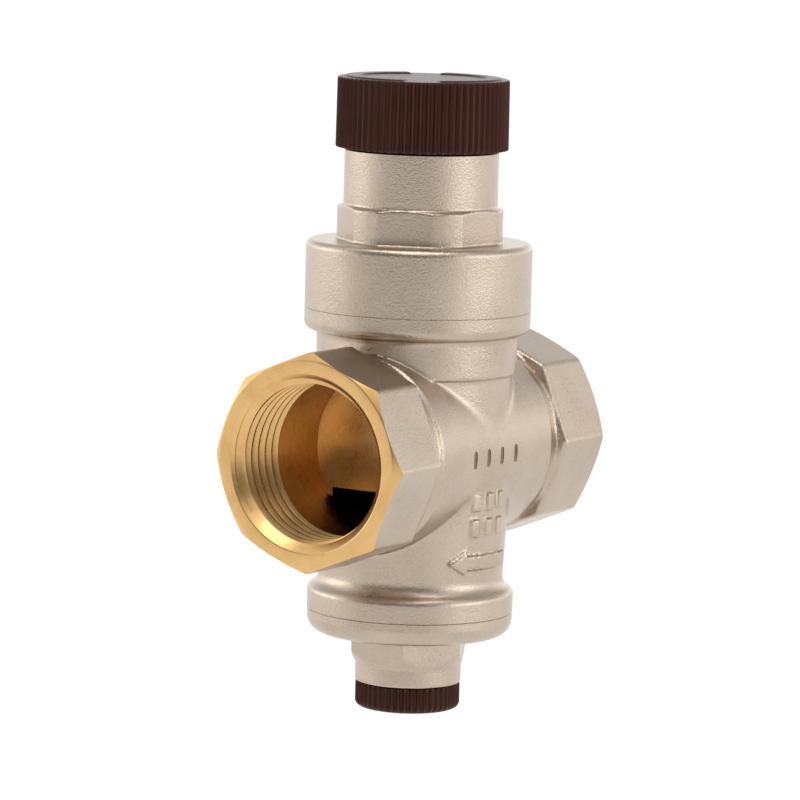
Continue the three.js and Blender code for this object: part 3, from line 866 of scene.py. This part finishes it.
SPRING_WIRE = 2.5
SPRING_MEAN_R = 7.9
SPRING_TURNS = 5
SPRING_LOW = 23.05
SPRING_HIGH = 45.0


def spring_point(turn):
    """Centre line of the spring: closed end turns, even pitch between them."""
    closed = SPRING_WIRE + 0.12
    low, high = SPRING_LOW + SPRING_WIRE / 2, SPRING_HIGH - SPRING_WIRE / 2
    if turn < 1:
        z = low + closed * turn
    elif turn > SPRING_TURNS - 1:
        z = high - closed * (SPRING_TURNS - turn)
    else:
        z = low + closed + (turn - 1) / (SPRING_TURNS - 2) * (high - low - 2 * closed)
    angle = turn * 2 * math.pi
    return Vector((SPRING_MEAN_R * math.cos(angle), SPRING_MEAN_R * math.sin(angle), z))


def spring_half(name, first, last):
    """Half of the spring, swept along its centre line from one turn to another."""
    per_turn, sides = 64, 20
    count = int((last - first) * per_turn)
    angles = [i * 2 * math.pi / sides for i in range(sides)]
    section = [(SPRING_WIRE / 2 * math.cos(a), SPRING_WIRE / 2 * math.sin(a)) for a in angles]
    turns = [first + (last - first) * i / count for i in range(count + 1)]
    centres = [spring_point(t) for t in turns]
    frames = [(Vector((c.x, c.y, 0)).normalized(), Vector((0, 0, 1))) for c in centres]
    mesh = swept(name, centres, section, frames, SPRING_STEEL)
    shade(mesh, 40)
    obj = new_object(name, mesh)
    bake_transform(obj)
    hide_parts("main_spring")


def build_spring():
    """The spring in two halves that meet at its middle."""
    middle = SPRING_TURNS / 2
    spring_half("main_spring_lower", 0, middle)
    spring_half("main_spring_upper", middle, SPRING_TURNS)


def oring(node, body):
    """A round seal that fills the CAD ring's box; the CAD ring's wire has six sides."""
    low, high = span(node)
    wire = (high[2] - low[2]) / 2 / math.cos(math.pi / 6)
    mean, level = high[0] - wire, (high[2] + low[2]) / 2
    sides = 16
    angles = [i * 2 * math.pi / sides for i in range(sides)]
    profile = [(mean + wire * math.cos(a), level + wire * math.sin(a), 0) for a in angles]
    mesh = revolved(node, profile, RUBBER, 96)
    piece(node + "_finished", mesh, node, body, 60)


def plain_ring(node, body, material, inner, edge=0.12):
    """A turned ring of rectangular section that fills the CAD node's box."""
    low, high = span(node)
    profile = [(inner, low[2]), (high[0], low[2]), (high[0], high[2]), (inner, high[2])]
    piece(node + "_finished", turned(node, profile, material, 96, edge), node, body)


def hex_nut(node, body, material, half, hole):
    """A chamfered hexagon nut between the CAD node's levels."""
    low, high = heights(node)
    corner_r = half / math.cos(math.pi / 6)
    chamfer_r = corner_r - 0.45

    def field(x, y, z):
        r = np.hypot(x, y)
        prism = polygon_prism(x, y, 6, half, math.pi / 6, 0.1)
        ends = np.abs(z - (low + high) / 2) - (high - low) / 2
        chamfer = (ends + np.maximum(r - chamfer_r, -0.4) * 0.58) * 0.86
        return np.maximum(np.maximum(prism, np.maximum(chamfer, ends)), hole - r)

    reach = half * 1.2 + 0.5
    mesh = meshed(node, field, (-reach, -reach, low - 0.5), (reach, reach, high + 0.5), 0.14, material)
    piece(node + "_finished", mesh, node, body, 25)


def build_stem():
    """Hollow stem with a collar under the piston, a threaded tip and a cross hole."""
    low, high = heights("stem")
    tip_r, bore_r, cross_r, cross_z = 3.4, 1.4, 0.8, 15.1
    profile = [(0, low), (2.4, low), (2.4, -11.4), (3, -11.4), (3, 4.4), (5.2, 5.8), (5.2, 16),
               (tip_r, 16), (tip_r, high), (0, high)]
    bore = [(0, low - 1), (bore_r, low - 1), (bore_r, cross_z), (0, cross_z + 0.8)]
    across = [(0, -8), (cross_r, -8), (cross_r, 8), (0, 8)]
    cross = turned("stem_cross", across, STAINLESS, 32, 0.05, along_x=True)
    cross.transform(Matrix.Translation((0, 0, cross_z * MM)))
    mesh = turned("stem", profile, STAINLESS, 96, 0.2)
    mesh = cut(mesh, turned("stem_bore", bore, STAINLESS, 48, 0.05))
    mesh = cut(mesh, cross)
    mesh = cut(mesh, groove_tool("stem_thread", tip_r, 2.95, high + 0.8, 23.6, 1.0, STAINLESS))
    piece("stem_finished", mesh, "stem", "piston_set")


def build_piston():
    """Piston with grooves for its O-ring and its guide ring, and a boss for the nut."""
    low = heights("piston")[0]
    outer, hole, boss = 13.3, 3.6, 6.2
    oring_groove = [(outer, 17.5), (11.2, 17.5), (11.2, 19.7), (outer, 19.7)]
    guide_groove = [(outer, 20.2), (12.2, 20.2), (12.2, 22), (outer, 22)]
    top = [(outer, 22.9), (boss, 22.9), (boss, 24.05), (hole, 24.05)]
    profile = [(hole, low), (outer, low)] + oring_groove + guide_groove + top
    piece("piston_finished", turned("piston", profile, BRASS_Z, 144, 0.2), "piston", "piston_set")


def build_seat():
    """Seat ring with a narrow lip below and a groove for its O-ring."""
    low, high = heights("seat_ring")
    hole, outer, root = 5.2, 7.05, 5.9
    profile = [
        (hole, low), (5.7, low), (6.1, low + 0.7), (outer, -6.6), (outer, -6.3), (root, -6.3),
        (root, -4.9), (outer, -4.9), (outer, high), (5.8, high), (hole, high - 0.6),
    ]
    mesh = turned("seat_ring", profile, STAINLESS, 120, 0.12)
    piece("seat_ring_finished", mesh, "seat_ring", "root")


def build_shutter():
    """Wide shutter disc with a recess for its rubber pad. Its black is partly plastic and partly painted
    shade: the disc is widened so its black fills the view into the chamber through the outlet.
    """
    low, high = heights("shutter")
    hole, outer, hub, recess = 2.55, 11.4, 7.6, 6.85
    recess_floor = high - 1.45
    profile = [
        (hole, low), (6, low), (9, low + 0.6), (outer, -12.9), (outer, -11.45), (hub, -11.3),
        (hub, high), (recess, high), (recess, recess_floor), (hole, recess_floor),
    ]
    mesh = turned("shutter", profile, BLACK_PLASTIC_AND_SHADE, 120, 0.2)
    piece("shutter_finished", mesh, "shutter", "piston_set")


def build_adjuster():
    """Threaded disc with a spigot below and a slot on top."""
    low, high = heights("adjusting_screw")
    hole, spigot, outer = 2, 7, 9.3
    profile = [(hole, low), (spigot, low), (spigot, low + 1), (outer, low + 1), (outer, high - 0.6),
               (outer - 0.6, high), (hole, high)]
    mesh = turned("adjusting_screw", profile, BRASS_Z, 120, 0.12)
    mesh = cut(mesh, groove_tool("adjuster_thread", outer, outer - 0.65, high + 1, low - 0.6, CAP_PITCH,
                                 BRASS_Z))
    mesh = cut(mesh, slot_tool(13, 2, high - 1.9, high + 1, BRASS_Z))
    piece("adjusting_screw_finished", mesh, "adjusting_screw", "adjuster")


def build_spring_plate():
    """Pressed plate: a rim on the spring's end, a spigot inside it and a raised middle."""
    low, high = heights("upper_spring_plate")
    seat = SPRING_HIGH + 0.1
    hole, neck, rim = 2.4, 6.6, 9.2
    profile = [(hole, high), (hole, 45.7), (5.9, 45.7), (6.3, low), (neck, low + 0.1), (neck, seat),
               (rim, seat), (rim, seat + 1), (7, seat + 1), (neck, high)]
    piece("upper_spring_plate_finished", turned("upper_spring_plate", profile, STAINLESS, 96, 0.1),
          "upper_spring_plate", "spring_plate")


def build_clip():
    """Retaining ring that holds the stem's guide."""
    low, high = heights("guide_clip")
    hole, outer = 6, 7.1
    profile = [(hole, low), (outer, low), (outer, high), (hole, high)]
    mesh = turned("guide_clip", profile, SPRING_STEEL, 96, 0.08)
    piece("guide_clip_finished", mesh, "guide_clip", "root")


def build_small_parts():
    """Seals, guide rings and nuts."""
    oring("piston_oring", "piston_set")
    oring("stem_oring", "root")
    oring("seat_oring", "root")
    oring("bottom_cap_oring", "root")
    oring("gauge_plug_oring", "plug_seal")
    plain_ring("piston_guide_ring", "piston_set", PTFE, 12.6)
    plain_ring("stem_guide", "root", PTFE, 5.3)
    plain_ring("shutter_gasket", "piston_set", RUBBER, 3.15, 0.2)
    plain_ring("cap_gasket", "cap_seal", RUBBER, 8.6, 0.2)
    hex_nut("piston_nut", "piston_set", BRASS_Z, 5.5, 3.6)
    hex_nut("shutter_nut", "piston_set", STAINLESS, 4.0, 2.5)


# ---------------------------------------------------------------- camera, light and floor

CAMERA_AZIMUTH = -57.54
CAMERA_ELEVATION = 7.73
CAMERA_ROLL = 1.57
CAMERA_DISTANCE = 740.4
AIM_RIGHT = -2.36
AIM_UP = 6.84
LENS = 213.7

# The world's light: levels round the horizon, from opposite the dark azimuth (0) to the dark azimuth
# (1), times levels from the horizon (0) to straight up (1), and one soft panel above the camera.
DARK_AZIMUTH = CAMERA_AZIMUTH - 18
AROUND_STOPS = (
    (0.0, 0.54), (0.16, 0.38), (0.34, 0.58), (0.48, 1.08), (0.60, 1.08), (0.72, 0.55), (0.84, 0.05),
    (1.0, 0.0),
)
OVERHEAD_STOPS = ((0.0, 1.0), (0.22, 1.0), (0.42, 0.33), (1.0, 0.30))
PANEL_ELEVATION = 52
PANEL_EDGE = (0.90, 0.96)
PANEL_STOPS = ((0.0, 0.0), (1.0, 0.42))
WORLD_STRENGTH = 2.8
BACKDROP_LEVEL = 0.36  # what the camera itself sees beyond the floor

SUN_ENERGY = 1.25
SUN_ANGLE = math.radians(45)
SUN_AZIMUTH = -80
SUN_ELEVATION = 78

FLOOR_DROP = 650  # far enough below to leave views from below free
FLOOR_HALF = 40000


def direction(azimuth, elevation):
    """Unit vector from the origin towards a camera or a light; azimuth 0 is the -Y side."""
    a, e = math.radians(azimuth), math.radians(elevation)
    return Vector((math.sin(a) * math.cos(e), -math.cos(a) * math.cos(e), math.sin(e)))


def build_camera():
    """The camera, aimed a little beside the origin and rolled slightly."""
    back = direction(CAMERA_AZIMUTH, CAMERA_ELEVATION)
    right = Vector((-back.y, back.x, 0)).normalized()
    up = back.cross(right)
    eye = back * CAMERA_DISTANCE
    ahead = (right * AIM_RIGHT + up * AIM_UP - eye).normalized()
    right = ahead.cross(up).normalized()
    up = right.cross(ahead)
    roll = math.radians(CAMERA_ROLL)
    across = right * math.cos(roll) + up * math.sin(roll)
    upright = up * math.cos(roll) - right * math.sin(roll)
    data = bpy.data.cameras.new("camera")
    data.sensor_width = 36
    data.lens = LENS
    data.clip_end = 50
    camera = bpy.data.objects.new("camera", data)
    columns = (across, upright, -ahead, eye * MM)
    camera.matrix_world = Matrix([[c[i] for c in columns] for i in range(3)] + [[0, 0, 0, 1]])
    bpy.context.scene.collection.objects.link(camera)
    bpy.context.scene.camera = camera


class Sky:
    """The world's node tree, with short ways to add to it."""

    def __init__(self, name):
        world = bpy.data.worlds.new(name)
        world.use_nodes = True
        bpy.context.scene.world = world
        self.tree = world.node_tree
        self.towards = self.tree.nodes.new("ShaderNodeTexCoord").outputs["Generated"]

    def vector_math(self, operation, a, b=None):
        """A vector math node on an output and, if given, a fixed vector."""
        node = self.tree.nodes.new("ShaderNodeVectorMath")
        node.operation = operation
        self.tree.links.new(a, node.inputs[0])
        if b is not None:
            node.inputs[1].default_value = b
        return node

    def ramp(self, source, start, end, stops):
        """Grey levels, smoothly joined, over the source's range start to end."""
        spread = self.tree.nodes.new("ShaderNodeMapRange")
        spread.inputs["From Min"].default_value = start
        spread.inputs["From Max"].default_value = end
        self.tree.links.new(source, spread.inputs["Value"])
        node = self.tree.nodes.new("ShaderNodeValToRGB")
        node.color_ramp.interpolation = "B_SPLINE"
        elements = node.color_ramp.elements
        while len(elements) < len(stops):
            elements.new(0.5)
        for element, (position, level) in zip(elements, stops):
            element.position = position
            element.color = (level, level, level, 1)
        self.tree.links.new(spread.outputs["Result"], node.inputs["Fac"])
        return node.outputs["Color"]

    def blend(self, kind, share, first, second):
        """Two colours blended; the share and the second are outputs or fixed values."""
        node = self.tree.nodes.new("ShaderNodeMix")
        node.data_type = "RGBA"
        node.blend_type = kind
        self.tree.links.new(first, node.inputs[6])
        for socket, value in ((node.inputs["Factor"], share), (node.inputs[7], second)):
            if isinstance(value, bpy.types.NodeSocket):
                self.tree.links.new(value, socket)
            else:
                socket.default_value = value
        return node.outputs[2]

    def done(self, color, strength):
        background = self.tree.nodes["Background"]
        self.tree.links.new(color, background.inputs["Color"])
        background.inputs["Strength"].default_value = strength


def build_world():
    """Bright round the sides, dark behind the camera with a panel above it, dim overhead."""
    sky = Sky("studio")
    level = sky.vector_math("MULTIPLY", sky.towards, (1, 1, 0))
    level = sky.vector_math("NORMALIZE", level.outputs[0])
    turn = sky.vector_math("DOT_PRODUCT", level.outputs[0], direction(DARK_AZIMUTH, 0))
    around = sky.ramp(turn.outputs["Value"], -1, 1, AROUND_STOPS)
    height = sky.vector_math("DOT_PRODUCT", sky.towards, (0, 0, 1))
    overhead = sky.ramp(height.outputs["Value"], 0, 1, OVERHEAD_STOPS)
    facing = sky.vector_math("DOT_PRODUCT", sky.towards, direction(CAMERA_AZIMUTH, PANEL_ELEVATION))
    panel = sky.ramp(facing.outputs["Value"], *PANEL_EDGE, PANEL_STOPS)
    light = sky.blend("ADD", 1, sky.blend("MULTIPLY", 1, around, overhead), panel)
    seen = sky.tree.nodes.new("ShaderNodeLightPath").outputs["Is Camera Ray"]
    plain = (BACKDROP_LEVEL, BACKDROP_LEVEL, BACKDROP_LEVEL, 1)
    sky.done(sky.blend("MIX", seen, light, plain), WORLD_STRENGTH)


def floor_look():
    """Pale matt floor."""
    look = Look("floor")
    cloud = look.noise(900, detail=1.0)
    look.shader.inputs["Roughness"].default_value = 0.9
    return look.done(look.mix(cloud, (0.90, 0.90, 0.90), (0.93, 0.93, 0.93)))


def build_floor():
    level = BODY_LOW[2] - FLOOR_DROP
    corners = [(x * FLOOR_HALF, y * FLOOR_HALF, level) for x, y in ((-1, -1), (1, -1), (1, 1), (-1, 1))]
    new_object("floor", mesh_from("floor", corners, [(0, 1, 2, 3)], floor_look()))


def build_sun():
    """A wide, soft light from high up."""
    data = bpy.data.lights.new("sky_panel", "SUN")
    data.energy = SUN_ENERGY
    data.angle = SUN_ANGLE
    obj = bpy.data.objects.new("sky_panel", data)
    obj.rotation_euler = (-direction(SUN_AZIMUTH, SUN_ELEVATION)).to_track_quat("-Z", "Y").to_euler()
    bpy.context.scene.collection.objects.link(obj)


def build_studio():
    build_world()
    build_floor()
    build_sun()
    bpy.context.scene.view_settings.view_transform = "Standard"


# ---------------------------------------------------------------- the valve

build_camera()
build_body()
build_bonnet()
build_foot()
build_cap()
build_gauge_plug()
build_spring()
build_stem()
build_piston()
build_seat()
build_shutter()
build_adjuster()
build_spring_plate()
build_clip()
build_small_parts()
build_studio()
